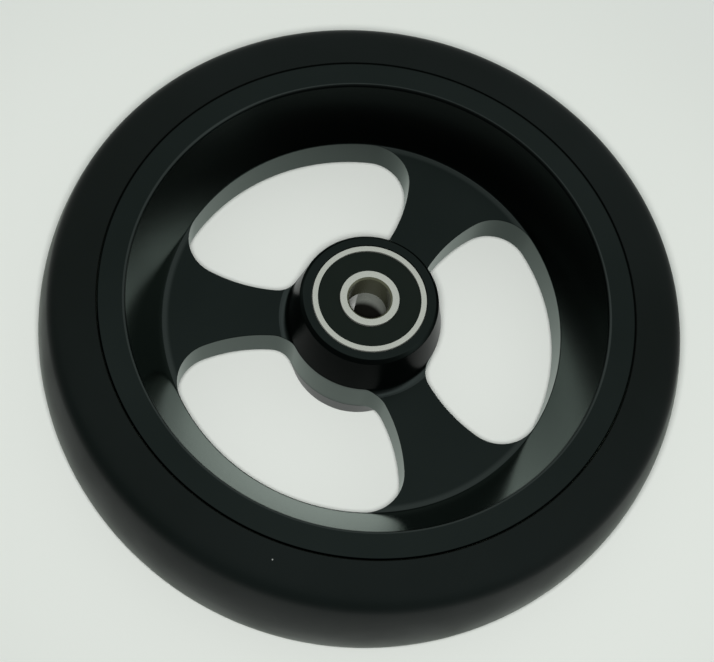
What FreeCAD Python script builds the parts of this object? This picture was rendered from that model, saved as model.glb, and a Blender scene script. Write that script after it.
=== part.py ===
"""Wheelchair caster wheel: soft tyre, one-piece spoked wheel centre and two sealed ball bearings.

The wheel lies flat: the axle line is Z, and the origin is the wheel's centre.
All sizes are in millimetres.
"""
import FreeCAD, Part
import math
import os

import Sketcher

# Driving dimensions, each written once
DRIVING = {
    # Tyre
    "wheel_diameter": 125.0,
    "tyre_height": 11.65,
    "crown_radius": 38.7,
    "shoulder_radius": 3.0,
    "tyre_edge": 0.3,
    # Rim
    "rim_width": 31.0,
    "flange_width": 4.9,
    "flange_round": 1.0,
    "rim_chamfer": 0.2,
    "channel_width": 14.0,
    "channel_depth": 4.0,
    "channel_slope": 2.0,
    "dish_taper": 6.85,
    "dish_fillet": 0.4,
    # Spokes and their windows
    "spoke_count": 3,
    "web_thickness": 7.4,
    "waist_width": 9.6,
    "waist_distance": 17.1,
    "flank_radius": 31.0,
    "window_edge": 0.05,
    "window_hub_bite": 0.15,
    "window_corner": 8.0,
    "window_root": 5.0,
    # Hub
    "hub_recess": 1.8,
    "hub_diameter": 26.6,
    "hub_flare": 1.9,
    "hub_fillet": 1.4,
    "hub_chamfer": 0.7,
    "pocket_chamfer": 0.25,
    "shoulder_height": 1.5,
    # Bearings
    "bearing_bore": 8.0,
    "bearing_diameter": 22.0,
    "bearing_width": 7.0,
    "bearing_chamfer": 0.3,
    "ball_count": 7,
    "ball_diameter": 3.969,
    "ball_circle": 15.0,
    "race_conformity": 1.04,
    "inner_land_step": 0.55,
    "outer_land_step": 0.42,
    "seal_depth": 1.3,
    "seal_recess": 0.3,
    "seal_thickness": 0.6,
    "seal_lip_diameter": 11.3,
    "seal_mouth_diameter": 19.7,
    "seal_groove_depth": 0.27,
    "seal_bead": 0.7,
    "seal_lip_width": 0.6,
    "cage_thickness": 1.5,
    "cage_back": 0.38,
    "cage_prong": 1.2,
    # Spacer sleeve
    "sleeve_wall": 1.3,
    "sleeve_chamfer": 0.25,
    # Clearances
    "seat_gap": 0.03,
    "ball_gap": 0.03,
    "pocket_gap": 0.04,
    "lip_gap": 0.06,
    "sleeve_gap": 0.2,
}

# Sizes worked out from the driving ones
DERIVED = {
    "wheel_rad": "wheel_diameter / 2",
    "rim_rad": "wheel_rad - tyre_height",
    "flange_rad": "rim_rad - flange_width",
    "dish_rad": "flange_rad - dish_taper",
    "channel_rad": "rim_rad - channel_depth",
    "rim_half": "rim_width / 2",
    "channel_half": "channel_width / 2",
    "crown_centre": "wheel_rad - crown_radius",
    "shoulder_high": "rim_half - shoulder_radius",
    "shoulder_reach": "sqrt((crown_radius - shoulder_radius) ^ 2 - shoulder_high ^ 2)",
    "tread_share": "crown_radius / (crown_radius - shoulder_radius)",
    "web_half": "web_thickness / 2",
    "hub_half": "rim_half - hub_recess",
    "hub_rad": "hub_diameter / 2",
    "hub_foot": "hub_rad + hub_flare",
    "spoke_half_angle": "180 / spoke_count",
    "window_turn": "90 - spoke_half_angle",
    "flank_offset": "waist_width / 2 + flank_radius",
    "flank_x": "waist_distance * cos(spoke_half_angle) + flank_offset * sin(spoke_half_angle)",
    "flank_y": "waist_distance * sin(spoke_half_angle) - flank_offset * cos(spoke_half_angle)",
    "window_outer": "dish_rad - window_edge",
    "window_inner": "hub_foot - window_hub_bite",
    "bearing_rad": "bearing_diameter / 2",
    "bearing_half": "bearing_width / 2",
    "bearing_place": "hub_half - bearing_half",
    "bore_rad": "bearing_bore / 2",
    "pocket_rad": "bearing_rad + seat_gap",
    "seat_half": "hub_half - bearing_width",
    "ball_rad": "ball_diameter / 2",
    "pitch_rad": "ball_circle / 2",
    "race_rad": "ball_rad * race_conformity",
    "inner_race_centre": "pitch_rad - ball_rad - ball_gap + race_rad",
    "outer_race_centre": "pitch_rad + ball_rad + ball_gap - race_rad",
    "inner_land": "inner_race_centre - race_rad + inner_land_step",
    "outer_land": "outer_race_centre + race_rad - outer_land_step",
    "inner_race_edge": "sqrt(race_rad ^ 2 - (inner_race_centre - inner_land) ^ 2)",
    "outer_race_edge": "sqrt(race_rad ^ 2 - (outer_land - outer_race_centre) ^ 2)",
    "lip_rad": "seal_lip_diameter / 2",
    "mouth_rad": "seal_mouth_diameter / 2",
    "groove_rad": "mouth_rad + seal_groove_depth",
    "seal_floor": "bearing_half - seal_depth",
    "seal_face": "bearing_half - seal_recess",
    "seal_back": "seal_face - seal_thickness",
    "groove_top": "seal_floor + seal_bead + 2 * seat_gap",
    "cage_pocket_rad": "ball_rad + pocket_gap",
    "cage_top": "cage_pocket_rad + cage_back",
    "cage_inner": "pitch_rad - cage_thickness / 2",
    "cage_outer": "pitch_rad + cage_thickness / 2",
    "sleeve_bore": "bore_rad + sleeve_gap",
    "sleeve_outer": "sleeve_bore + sleeve_wall",
}

doc = FreeCAD.newDocument("caster_wheel")
size = doc.addObject("Spreadsheet::Sheet", "size")


def fill_sheet():
    """Write every size into the sheet: plain numbers first, then the formulas that use them."""
    rows = [(name, str(value)) for name, value in DRIVING.items()]
    rows += [(name, "=" + formula) for name, formula in DERIVED.items()]
    for row, (name, content) in enumerate(rows, start=1):
        size.set("A%d" % row, name)
        size.set("B%d" % row, content)
        size.setAlias("B%d" % row, name)
    doc.recompute()


def value(expression):
    """The number that an expression on the sheet comes to."""
    result = size.evalExpression(expression)
    return getattr(result, "Value", result)


def origin(body, role):
    """One of a body's own origin planes or axes."""
    return next(feature for feature in body.Origin.OriginFeatures if feature.Role == role)


def attach(sketch, body, role):
    """Lay a sketch on one of its body's origin planes."""
    sketch.AttachmentSupport = [(origin(body, role), "")]
    sketch.MapMode = "FlatFace"


def bind(sketch, constraint, expression):
    """Add a dimension to a sketch and bind it to an expression on the sheet."""
    index = sketch.addConstraint(constraint)
    sketch.setExpression("Constraints[%d]" % index, expression)


def pin_point(sketch, geometry, end, x, y):
    """Hold one point of a sketch at two expressions, measured from the sketch's origin."""
    bind(sketch, Sketcher.Constraint("DistanceX", -1, 1, geometry, end, value(x)), x)
    bind(sketch, Sketcher.Constraint("DistanceY", -1, 1, geometry, end, value(y)), y)


def pin_radius(sketch, geometry, radius):
    """Hold the radius of an arc at an expression."""
    bind(sketch, Sketcher.Constraint("Radius", geometry, value(radius)), radius)


def arc_between(start, end, centre, clockwise):
    """An arc of a circle from start to end; the sketch keeps it anticlockwise, so ends may swap."""
    first, last = (end, start) if clockwise else (start, end)
    circle = Part.Circle(centre, FreeCAD.Vector(0, 0, 1), start.distanceToPoint(centre))
    angles = [math.atan2(point.y - centre.y, point.x - centre.x) for point in (first, last)]
    if angles[1] < angles[0]:
        angles[1] += 2 * math.pi
    return Part.ArcOfCircle(circle, *angles)


def arc_ends(clockwise):
    """Which end of a sketch arc, 1 or 2, begins and which finishes the walk along it."""
    return (2, 1) if clockwise else (1, 2)


def corner(x, y, rounding=None, arc=None, clockwise=False):
    """One corner of an outline: its place, its rounding, and the radius of an arc to the next corner."""
    return {"x": x, "y": y, "rounding": rounding, "arc": arc, "clockwise": clockwise}


def mirrored(half):
    """A half outline and its mirror image below the mid-plane, walked on from the half's last corner."""
    other = []
    for index in reversed(range(len(half))):
        before = half[index - 1] if index else corner(None, None)
        other.append(dict(half[index], y="-(%s)" % half[index]["y"],
                          arc=before["arc"], clockwise=before["clockwise"]))
    return half + other


def trimmed(point, other, distance):
    """A point moved towards another one."""
    return point + (other - point).normalize() * distance


def bulge_centre(start, end, radius, clockwise):
    """Centre of the shorter arc of this radius from start to end."""
    chord = end - start
    side = FreeCAD.Vector(chord.y, -chord.x, 0) if clockwise else FreeCAD.Vector(-chord.y, chord.x, 0)
    height = math.sqrt(radius ** 2 - (chord.Length / 2) ** 2)
    return (start + end) * 0.5 + side.normalize() * height


def draw_outline(sketch, corners):
    """Draw a closed outline of lines, rounded corners and arcs, with every size bound to the sheet."""
    count = len(corners)
    places = [FreeCAD.Vector(value(point["x"]), value(point["y"]), 0) for point in corners]
    begins, finishes, rounds = list(places), list(places), {}
    for index, point in enumerate(corners):
        if point["rounding"]:
            before = places[index - 1] - places[index]
            after = places[(index + 1) % count] - places[index]
            opening = before.getAngle(after)
            cut = value(point["rounding"]) / math.tan(opening / 2)
            begins[index] = trimmed(places[index], places[(index + 1) % count], cut)
            finishes[index] = trimmed(places[index], places[index - 1], cut)
            middle = before.normalize() + after.normalize()
            depth = value(point["rounding"]) / math.sin(opening / 2)
            rounds[index] = (places[index] + middle.normalize() * depth, before.cross(after).z < 0)
    edges = []
    for index, point in enumerate(corners):
        start = begins[index]
        end = finishes[(index + 1) % count]
        if point["arc"]:
            centre = bulge_centre(start, end, value(point["arc"]), point["clockwise"])
            shape = arc_between(start, end, centre, point["clockwise"])
            edges.append((sketch.addGeometry(shape, False), *arc_ends(point["clockwise"])))
            pin_radius(sketch, edges[-1][0], point["arc"])
        else:
            edges.append((sketch.addGeometry(Part.LineSegment(start, end), False), 1, 2))
    for index, point in enumerate(corners):
        incoming, _, incoming_end = edges[index - 1]
        outgoing, outgoing_start, _ = edges[index]
        if not point["rounding"]:
            sketch.addConstraint(
                Sketcher.Constraint("Coincident", incoming, incoming_end, outgoing, outgoing_start))
            pin_point(sketch, outgoing, outgoing_start, point["x"], point["y"])
            continue
        centre, turns_left = rounds[index]
        clockwise = not turns_left
        shape = arc_between(finishes[index], begins[index], centre, clockwise)
        fillet = sketch.addGeometry(shape, False)
        fillet_start, fillet_end = arc_ends(clockwise)
        sharp = sketch.addGeometry(Part.Point(places[index]), True)
        pin_point(sketch, sharp, 1, point["x"], point["y"])
        sketch.addConstraint([
            Sketcher.Constraint("PointOnObject", sharp, 1, incoming),
            Sketcher.Constraint("PointOnObject", sharp, 1, outgoing),
            Sketcher.Constraint("Tangent", incoming, incoming_end, fillet, fillet_start),
            Sketcher.Constraint("Tangent", fillet, fillet_end, outgoing, outgoing_start),
        ])
        pin_radius(sketch, fillet, point["rounding"])


def turned(name, corners):
    """A body turned about the axle line from an outline of radius and height."""
    body = doc.addObject("PartDesign::Body", name)
    body.Label = name
    sketch = body.newObject("Sketcher::SketchObject", name + "_profile")
    attach(sketch, body, "XZ_Plane")
    draw_outline(sketch, corners)
    turn = body.newObject("PartDesign::Revolution", name + "_turn")
    turn.Profile = sketch
    turn.ReferenceAxis = (sketch, ["V_Axis"])
    turn.Angle = 360
    body.Tip = turn
    return body


def place(sub_part, height, turned_over):
    """Set a sub-part at its height on the axle line, turned over about X where it faces down."""
    angle = 180 if turned_over else 0
    sub_part.Placement = FreeCAD.Placement(FreeCAD.Vector(), FreeCAD.Rotation(FreeCAD.Vector(1, 0, 0), angle))
    sub_part.setExpression("Placement.Base.z", height)


def make_tyre():
    """Soft tyre: a crowned tread and round shoulders, keyed into the rim's channel by an inner rib."""
    half = [
        corner("size.channel_rad + size.seat_gap", "size.channel_half - size.seat_gap"),
        corner("size.rim_rad + size.seat_gap", "size.channel_half + size.channel_slope - size.seat_gap"),
        corner("size.rim_rad + size.seat_gap", "size.rim_half - size.tyre_edge"),
        corner("size.rim_rad + size.seat_gap + size.tyre_edge", "size.rim_half"),
        corner("size.crown_centre + size.shoulder_reach", "size.rim_half",
               arc="size.shoulder_radius", clockwise=True),
        corner("size.crown_centre + size.shoulder_reach * size.tread_share",
               "size.shoulder_high * size.tread_share", arc="size.crown_radius", clockwise=True),
    ]
    return turned("tyre", mirrored(half))


def make_wheel_centre():
    """Rim, dished walls, web and hub turned as one piece, with the windows then cut between spokes."""
    half = [
        corner("size.pocket_rad - size.shoulder_height", "size.seat_half"),
        corner("size.pocket_rad", "size.seat_half"),
        corner("size.pocket_rad", "size.hub_half - size.pocket_chamfer"),
        corner("size.pocket_rad + size.pocket_chamfer", "size.hub_half"),
        corner("size.hub_rad - size.hub_chamfer", "size.hub_half"),
        corner("size.hub_rad", "size.hub_half - size.hub_chamfer"),
        corner("size.hub_foot", "size.web_half", rounding="size.hub_fillet"),
        corner("size.dish_rad", "size.web_half", rounding="size.dish_fillet"),
        corner("size.flange_rad", "size.rim_half", rounding="size.flange_round"),
        corner("size.rim_rad - size.rim_chamfer", "size.rim_half"),
        corner("size.rim_rad", "size.rim_half - size.rim_chamfer"),
        corner("size.rim_rad", "size.channel_half + size.channel_slope"),
        corner("size.channel_rad", "size.channel_half"),
    ]
    body = turned("wheel_centre", mirrored(half))
    blank = body.Tip
    window = body.newObject("Sketcher::SketchObject", "window_outline")
    attach(window, body, "XY_Plane")
    turn = FreeCAD.Rotation(FreeCAD.Vector(0, 0, 1), value("size.window_turn"))
    window.AttachmentOffset = FreeCAD.Placement(FreeCAD.Vector(), turn)
    window.setExpression("AttachmentOffset.Rotation.Angle", "size.window_turn")
    draw_window(window)
    cut = body.newObject("PartDesign::Pocket", "window_cut")
    cut.Profile = window
    cut.SideType = "Symmetric"
    cut.Type = "ThroughAll"
    doc.recompute()
    pattern = body.newObject("PartDesign::PolarPattern", "window_pattern")
    pattern.Originals = [cut]
    pattern.Axis = (window, ["N_Axis"])
    pattern.Angle = 360
    pattern.setExpression("Occurrences", "size.spoke_count")
    body.Tip = pattern
    doc.recompute()
    if not pattern.Shape.Volume < cut.Shape.Volume < blank.Shape.Volume:
        raise RuntimeError("the windows cut nothing")
    return body


def tangent_centre(near, near_distance, far, far_distance):
    """The upper of the two points at these distances from two centres."""
    span = far - near
    along = (near_distance ** 2 - far_distance ** 2 + span.Length ** 2) / (2 * span.Length)
    across = math.sqrt(near_distance ** 2 - along ** 2)
    direction = span.normalize()
    return near + direction * along + FreeCAD.Vector(-direction.y, direction.x, 0) * across


def draw_window(sketch):
    """One window about the sketch's X axis: rim arc, hub arc, two spoke flanks and four round corners."""
    hub = FreeCAD.Vector()
    flank = FreeCAD.Vector(value("size.flank_x"), value("size.flank_y"), 0)
    outer, inner = value("size.window_outer"), value("size.window_inner")
    flank_rad = value("size.flank_radius")
    round_out, round_in = value("size.window_corner"), value("size.window_root")
    out_centre = tangent_centre(hub, outer - round_out, flank, flank_rad - round_out)
    in_centre = tangent_centre(hub, inner + round_in, flank, flank_rad - round_in)

    def ray(start, through, distance):
        return start + (through - start).normalize() * distance

    def lower(point):
        return FreeCAD.Vector(point.x, -point.y, 0)

    rim_end = ray(hub, out_centre, outer)
    flank_out = ray(flank, out_centre, flank_rad)
    flank_in = ray(flank, in_centre, flank_rad)
    hub_end = ray(hub, in_centre, inner)
    walk = [
        (lower(rim_end), rim_end, hub, False),
        (rim_end, flank_out, out_centre, False),
        (flank_out, flank_in, flank, False),
        (flank_in, hub_end, in_centre, False),
        (hub_end, lower(hub_end), hub, True),
        (lower(hub_end), lower(flank_in), lower(in_centre), False),
        (lower(flank_in), lower(flank_out), lower(flank), False),
        (lower(flank_out), lower(rim_end), lower(out_centre), False),
    ]
    arcs = [(sketch.addGeometry(arc_between(*step), False), *arc_ends(step[3])) for step in walk]
    for (before, _, finish), (after, begin, _) in zip(arcs, arcs[1:] + arcs[:1]):
        sketch.addConstraint(Sketcher.Constraint("Tangent", before, finish, after, begin))
    rim_arc, corner_up, flank_up, root_up, hub_arc, root_down, flank_down, corner_down = [a[0] for a in arcs]
    for arc, radius in ((rim_arc, "size.window_outer"), (hub_arc, "size.window_inner")):
        sketch.addConstraint(Sketcher.Constraint("Coincident", arc, 3, -1, 1))
        pin_radius(sketch, arc, radius)
    for arc, height in ((flank_up, "size.flank_y"), (flank_down, "-size.flank_y")):
        pin_point(sketch, arc, 3, "size.flank_x", height)
        pin_radius(sketch, arc, "size.flank_radius")
    for arc in (corner_up, corner_down):
        pin_radius(sketch, arc, "size.window_corner")
    for arc in (root_up, root_down):
        pin_radius(sketch, arc, "size.window_root")


def make_sleeve():
    """Spacer sleeve that keeps the two inner rings apart when the axle bolt is tightened."""
    half = [
        corner("size.sleeve_bore", "size.seat_half - size.sleeve_chamfer"),
        corner("size.sleeve_bore + size.sleeve_chamfer", "size.seat_half"),
        corner("size.sleeve_outer - size.sleeve_chamfer", "size.seat_half"),
        corner("size.sleeve_outer", "size.seat_half - size.sleeve_chamfer"),
    ]
    return turned("spacer_sleeve", mirrored(half))


def make_outer_ring(name):
    """Outer ring of a bearing: one deep groove, and a snap groove for the seal on each side."""
    half = [
        corner("size.bearing_rad", "size.bearing_half - size.bearing_chamfer"),
        corner("size.bearing_rad - size.bearing_chamfer", "size.bearing_half"),
        corner("size.mouth_rad", "size.bearing_half"),
        corner("size.mouth_rad", "size.groove_top"),
        corner("size.groove_rad", "size.groove_top"),
        corner("size.groove_rad", "size.seal_floor"),
        corner("size.outer_land", "size.seal_floor"),
        corner("size.outer_land", "size.outer_race_edge", arc="size.race_rad", clockwise=True),
    ]
    return turned(name, mirrored(half))


def make_inner_ring(name):
    """Inner ring of a bearing: one deep groove, and a smooth land for the seal's lip on each side."""
    half = [
        corner("size.bore_rad", "size.bearing_half - size.bearing_chamfer"),
        corner("size.bore_rad + size.bearing_chamfer", "size.bearing_half"),
        corner("size.lip_rad", "size.bearing_half"),
        corner("size.lip_rad", "size.seal_floor"),
        corner("size.inner_land", "size.seal_floor"),
        corner("size.inner_land", "size.inner_race_edge", arc="size.race_rad", clockwise=False),
    ]
    return turned(name, mirrored(half))


def make_seal(name):
    """Rubber seal: a bead in the outer ring's groove, a thin disc, and a lip close to the inner ring."""
    return turned(name, [
        corner("size.outer_land + size.seat_gap", "size.seal_floor + size.seat_gap"),
        corner("size.groove_rad - size.seat_gap", "size.seal_floor + size.seat_gap"),
        corner("size.groove_rad - size.seat_gap", "size.groove_top - size.seat_gap"),
        corner("size.mouth_rad - size.seat_gap", "size.groove_top - size.seat_gap"),
        corner("size.mouth_rad - size.seat_gap", "size.seal_face"),
        corner("size.lip_rad + size.lip_gap", "size.seal_face"),
        corner("size.lip_rad + size.lip_gap", "size.seal_floor + size.pocket_gap"),
        corner("size.lip_rad + size.lip_gap + size.seal_lip_width", "size.seal_floor + size.pocket_gap"),
        corner("size.lip_rad + size.lip_gap + size.seal_lip_width", "size.seal_back"),
        corner("size.outer_land + size.seat_gap", "size.seal_back"),
    ])


def make_cage(name):
    """Snap-in cage: a ring with one round pocket for each ball, open on its far side."""
    body = turned(name, [
        corner("size.cage_inner", "-size.cage_prong"),
        corner("size.cage_outer", "-size.cage_prong"),
        corner("size.cage_outer", "size.cage_top"),
        corner("size.cage_inner", "size.cage_top"),
    ])
    ring = body.Tip
    pocket = body.newObject("PartDesign::SubtractiveSphere", name + "_pocket")
    pocket.setExpression("Radius", "size.cage_pocket_rad")
    pocket.setExpression("Placement.Base.x", "size.pitch_rad")
    doc.recompute()
    pattern = body.newObject("PartDesign::PolarPattern", name + "_pockets")
    pattern.Originals = [pocket]
    pattern.Axis = (origin(body, "Z_Axis"), [""])
    pattern.Angle = 360
    pattern.setExpression("Occurrences", "size.ball_count")
    body.Tip = pattern
    doc.recompute()
    if not pattern.Shape.Volume < pocket.Shape.Volume < ring.Shape.Volume:
        raise RuntimeError("the ball pockets cut nothing")
    return body


def make_ball(name, index, height):
    """One ball, set on the ball circle."""
    ball = doc.addObject("Part::Sphere", name)
    ball.Label = name
    ball.setExpression("Radius", "size.ball_rad")
    angle = "%d * 360 / size.ball_count" % index
    ball.setExpression("Placement.Base.x", "size.pitch_rad * cos(%s)" % angle)
    ball.setExpression("Placement.Base.y", "size.pitch_rad * sin(%s)" % angle)
    ball.setExpression("Placement.Base.z", height)
    return ball


def make_bearing(side, height, turned_over):
    """All the pieces of one sealed ball bearing, with its outward side away from the wheel's middle."""
    pieces = [
        (make_outer_ring(side + "_bearing_outer_ring"), turned_over),
        (make_inner_ring(side + "_bearing_inner_ring"), turned_over),
        (make_seal(side + "_bearing_outer_seal"), turned_over),
        (make_seal(side + "_bearing_inner_seal"), not turned_over),
        (make_cage(side + "_bearing_cage"), turned_over),
    ]
    for piece, over in pieces:
        place(piece, height, over)
    balls = [make_ball("%s_bearing_ball_%d" % (side, index + 1), index, height)
             for index in range(int(value("size.ball_count")))]
    return [piece for piece, _ in pieces] + balls


def check(sub_parts):
    """Stop before anything is written if a feature failed or a shape is empty or broken."""
    for item in doc.Objects:
        if "Invalid" in item.State or "Error" in item.State:
            raise RuntimeError("%s failed: %s" % (item.Label, item.State))
    for item in sub_parts:
        if item.Shape.isNull() or not item.Shape.isValid():
            raise RuntimeError("%s has no sound shape" % item.Label)


fill_sheet()
sub_parts = [make_tyre(), make_wheel_centre(), make_sleeve()]
sub_parts += make_bearing("top", "size.bearing_place", False)
sub_parts += make_bearing("bottom", "-size.bearing_place", True)
doc.recompute()
check(sub_parts)
os.makedirs("parts", exist_ok=True)
for item in sub_parts:
    item.Shape.exportStep("parts/%s.step" % item.Label)
    print("%-28s %10.2f mm3  %d solid" % (item.Label, item.Shape.Volume, len(item.Shape.Solids)))
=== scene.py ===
# %% [markdown]
# # A wheelchair caster wheel, dressed for its picture
# The solid model is loaded first as a fixed frame: every piece made here sits where that model says,
# in metres, with the axle line along Z and the wheel's middle at the origin.
# The outer pieces are then modelled again with finer edges than a solid model needs, because edges
# that catch a thin line of light are what makes turned metal and moulded rubber look real.

import bmesh
import bpy
import math
from mathutils import Euler, Matrix, Vector


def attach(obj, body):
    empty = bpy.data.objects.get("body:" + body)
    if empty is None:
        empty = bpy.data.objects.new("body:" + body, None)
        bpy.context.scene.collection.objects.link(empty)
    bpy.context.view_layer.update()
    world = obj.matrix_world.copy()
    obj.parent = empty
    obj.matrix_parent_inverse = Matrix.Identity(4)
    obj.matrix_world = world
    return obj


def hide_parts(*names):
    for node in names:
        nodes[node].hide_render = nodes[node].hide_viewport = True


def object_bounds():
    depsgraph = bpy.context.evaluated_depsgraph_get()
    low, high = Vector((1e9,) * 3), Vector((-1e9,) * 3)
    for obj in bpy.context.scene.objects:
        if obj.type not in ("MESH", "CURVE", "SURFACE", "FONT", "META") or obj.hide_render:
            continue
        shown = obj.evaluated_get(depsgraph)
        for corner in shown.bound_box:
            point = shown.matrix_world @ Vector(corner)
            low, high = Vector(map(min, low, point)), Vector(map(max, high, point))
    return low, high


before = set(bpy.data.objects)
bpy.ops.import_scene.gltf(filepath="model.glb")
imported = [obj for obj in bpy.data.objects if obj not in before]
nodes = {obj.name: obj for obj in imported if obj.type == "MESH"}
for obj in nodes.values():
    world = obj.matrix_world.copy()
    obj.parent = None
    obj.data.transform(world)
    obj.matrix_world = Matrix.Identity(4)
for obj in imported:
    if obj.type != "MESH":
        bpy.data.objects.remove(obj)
solid_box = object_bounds()
print("solid model:", len(nodes), "nodes, box", [tuple(round(c, 4) for c in p) for p in solid_box])

# %% [markdown]
# ## The camera
# The wheel lies on a table and is photographed from above its near edge, with the camera a little
# rolled. A real lens at a short distance makes the near rim larger than the far one, so both the
# distance and the lens matter: they were found by fitting the wheel's circles to the picture.

# %% Place the camera
LENS_MM, SENSOR_MM = 74.36, 36.0
CAMERA_PLACE = (0.03432, -0.11345, 0.26583)
CAMERA_TURN = (23.0, -6.303, 31.647)
NEAREST_SEEN = 0.01

camera_data = bpy.data.cameras.new("table_camera")
camera_data.sensor_fit = "HORIZONTAL"
camera_data.sensor_width = SENSOR_MM
camera_data.lens = LENS_MM
camera_data.clip_start = NEAREST_SEEN
camera = bpy.data.objects.new("table_camera", camera_data)
bpy.context.scene.collection.objects.link(camera)
camera.location = CAMERA_PLACE
camera.rotation_euler = Euler([math.radians(angle) for angle in CAMERA_TURN])
bpy.context.scene.camera = camera
print("camera", round(camera.location.length, 3), "m from the wheel's middle")

# %% [markdown]
# ## The table and the light
# A pale table fills the picture, and glossy black shows little else: the window walls and the tyre's
# edge are lit by the table's reflection. So the table near the wheel is a real surface.
# Most of the light comes from a soft round lamp at the lens, so that each shadow hides behind the edge
# that casts it and the table stays pale inside the windows. The lamp is aimed over the wheel at the far
# side, which evens out near and far. A weak even sky fills in and lays the soft shadow at the tyre.
# A lamp high above would be the usual way, but its shadows would show in the windows.

# %% Lay the table and hang the lamp
LAMP_AIM, LAMP_SIZE, LAMP_WATTS = (-0.24, 0.90, -0.36), 0.030, 1.22
TABLE_SIZE = 6.0


def hang_lamp():
    """A soft round lamp at the lens, which lights the table and stays out of the reflections."""
    data = bpy.data.lights.new("lens_lamp", "AREA")
    data.shape, data.size, data.energy = "DISK", LAMP_SIZE, LAMP_WATTS
    lamp = bpy.data.objects.new("lens_lamp", data)
    bpy.context.scene.collection.objects.link(lamp)
    lamp.location = CAMERA_PLACE
    lamp.rotation_euler = Vector(LAMP_AIM).to_track_quat("-Z", "Y").to_euler()
    lamp.visible_glossy = lamp.visible_camera = False


bpy.ops.object.select_all(action="DESELECT")
floor_height = solid_box[0].z
bpy.ops.mesh.primitive_plane_add(size=TABLE_SIZE, location=(0, 0, floor_height))
table = bpy.context.object
table.name = "table"
hang_lamp()
print("table at", round(floor_height, 4), "and a lamp of", LAMP_WATTS, "W")

# %% [markdown]
# ## The room
# The world gives three things at once. For light it is a weak even sky. The camera sees a plain pale
# backdrop. Gloss mirrors a room: dark behind the camera, palest overhead, pale on the far side. Only
# mirrored rays see that room, and the bare lamp is kept out of it, as a photographer keeps it out.

# %% Build the room
SKY_TINT = (0.95, 1.0, 0.97)
SKY_STRENGTH, ROOM_STRENGTH, BACKDROP_STRENGTH = 0.30, 1.0, 0.75
# How pale the mirrored room is, from behind the camera at 0 to the far side at 1
ROOM = ((0.0, 0.06), (0.40, 0.13), (0.50, 0.80), (0.58, 0.74), (0.66, 0.55), (0.85, 0.55), (1.0, 0.75))


def plain_nodes(tree):
    """Empty a node tree, and give back a short way to add and join nodes in it."""
    tree.nodes.clear()

    def add(kind, **settings):
        node = tree.nodes.new(kind)
        for name, setting in settings.items():
            setattr(node, name, setting)
        return node

    return add, tree.links.new


def room_sky(add, join):
    """The world: a sky for the light, the room for mirrored rays, a backdrop for the camera."""
    light, room, backdrop = [add("ShaderNodeBackground") for _ in range(3)]
    for sky, strength in ((light, SKY_STRENGTH), (room, ROOM_STRENGTH), (backdrop, BACKDROP_STRENGTH)):
        sky.inputs["Color"].default_value = (*SKY_TINT, 1.0)
        sky.inputs["Strength"].default_value = strength
    parts, depth, ramp = add("ShaderNodeSeparateXYZ"), add("ShaderNodeMapRange"), add("ShaderNodeValToRGB")
    depth.inputs["From Min"].default_value = -1.0
    while len(ramp.color_ramp.elements) < len(ROOM):
        ramp.color_ramp.elements.new(1.0)
    for element, (at, grey) in zip(ramp.color_ramp.elements, ROOM):
        element.position, element.color = at, (*(grey * tint for tint in SKY_TINT), 1.0)
    join(add("ShaderNodeTexCoord").outputs["Generated"], parts.inputs[0])
    join(parts.outputs["Y"], depth.inputs["Value"])
    join(depth.outputs["Result"], ramp.inputs["Fac"])
    join(ramp.outputs["Color"], room.inputs["Color"])
    ray, mirrored = add("ShaderNodeLightPath"), add("ShaderNodeMath", operation="MAXIMUM")
    join(ray.outputs["Is Glossy Ray"], mirrored.inputs[0])
    join(ray.outputs["Is Transmission Ray"], mirrored.inputs[1])
    shown = light
    for sky, when in ((room, mirrored.outputs[0]), (backdrop, ray.outputs["Is Camera Ray"])):
        either = add("ShaderNodeMixShader")
        join(when, either.inputs["Fac"])
        join(shown.outputs[0], either.inputs[1])
        join(sky.outputs[0], either.inputs[2])
        shown = either
    join(shown.outputs[0], add("ShaderNodeOutputWorld").inputs["Surface"])


world = bpy.data.worlds.new("room")
bpy.context.scene.world = world
world.use_nodes = True
room_sky(*plain_nodes(world.node_tree))
bpy.context.scene.view_settings.view_transform = "Standard"
print("sky at", SKY_STRENGTH, "and backdrop at", BACKDROP_STRENGTH)

# %% [markdown]
# ## Shared effects: lathe lines
# Six surface effects serve the finishes: the fine circles that a lathe leaves, a close grain, the
# slow patches that handling leaves in a gloss, a few pale specks of dust, a ring-shaped band where the
# tone changes (used for painted highlights and painted shade as well as for other changes of tone),
# and a soft step along one direction (used for painted shade and a painted glint). Each is built once
# as a node group, fed with the piece's own coordinates, and set to its own scale where it is used.
# The lathe's circles come first. A wave texture would repeat too evenly, so noise in one dimension is
# read along the distance from the axle and the height, and every circle differs a little.

# %% Build the lathe lines
EFFECTS = {}


def effect_group(name, inputs, outputs):
    """A new node group with named number inputs and outputs, fed with a place on the piece."""
    group = bpy.data.node_groups.new(name, "ShaderNodeTree")
    group.interface.new_socket("Place", in_out="INPUT", socket_type="NodeSocketVector")
    for socket, start in inputs.items():
        made = group.interface.new_socket(socket, in_out="INPUT", socket_type="NodeSocketFloat")
        made.default_value = start
    for socket in outputs:
        group.interface.new_socket(socket, in_out="OUTPUT", socket_type="NodeSocketFloat")
    add, join = plain_nodes(group)
    return group, add, join, add("NodeGroupInput"), add("NodeGroupOutput")


def from_axle(add, join, place):
    """The distance from the axle line to a place on the piece."""
    flat = add("ShaderNodeVectorMath", operation="MULTIPLY")
    flat.inputs[1].default_value = (1, 1, 0)
    distance = add("ShaderNodeVectorMath", operation="LENGTH")
    join(place, flat.inputs[0])
    join(flat.outputs["Vector"], distance.inputs[0])
    return distance.outputs["Value"]


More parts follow.
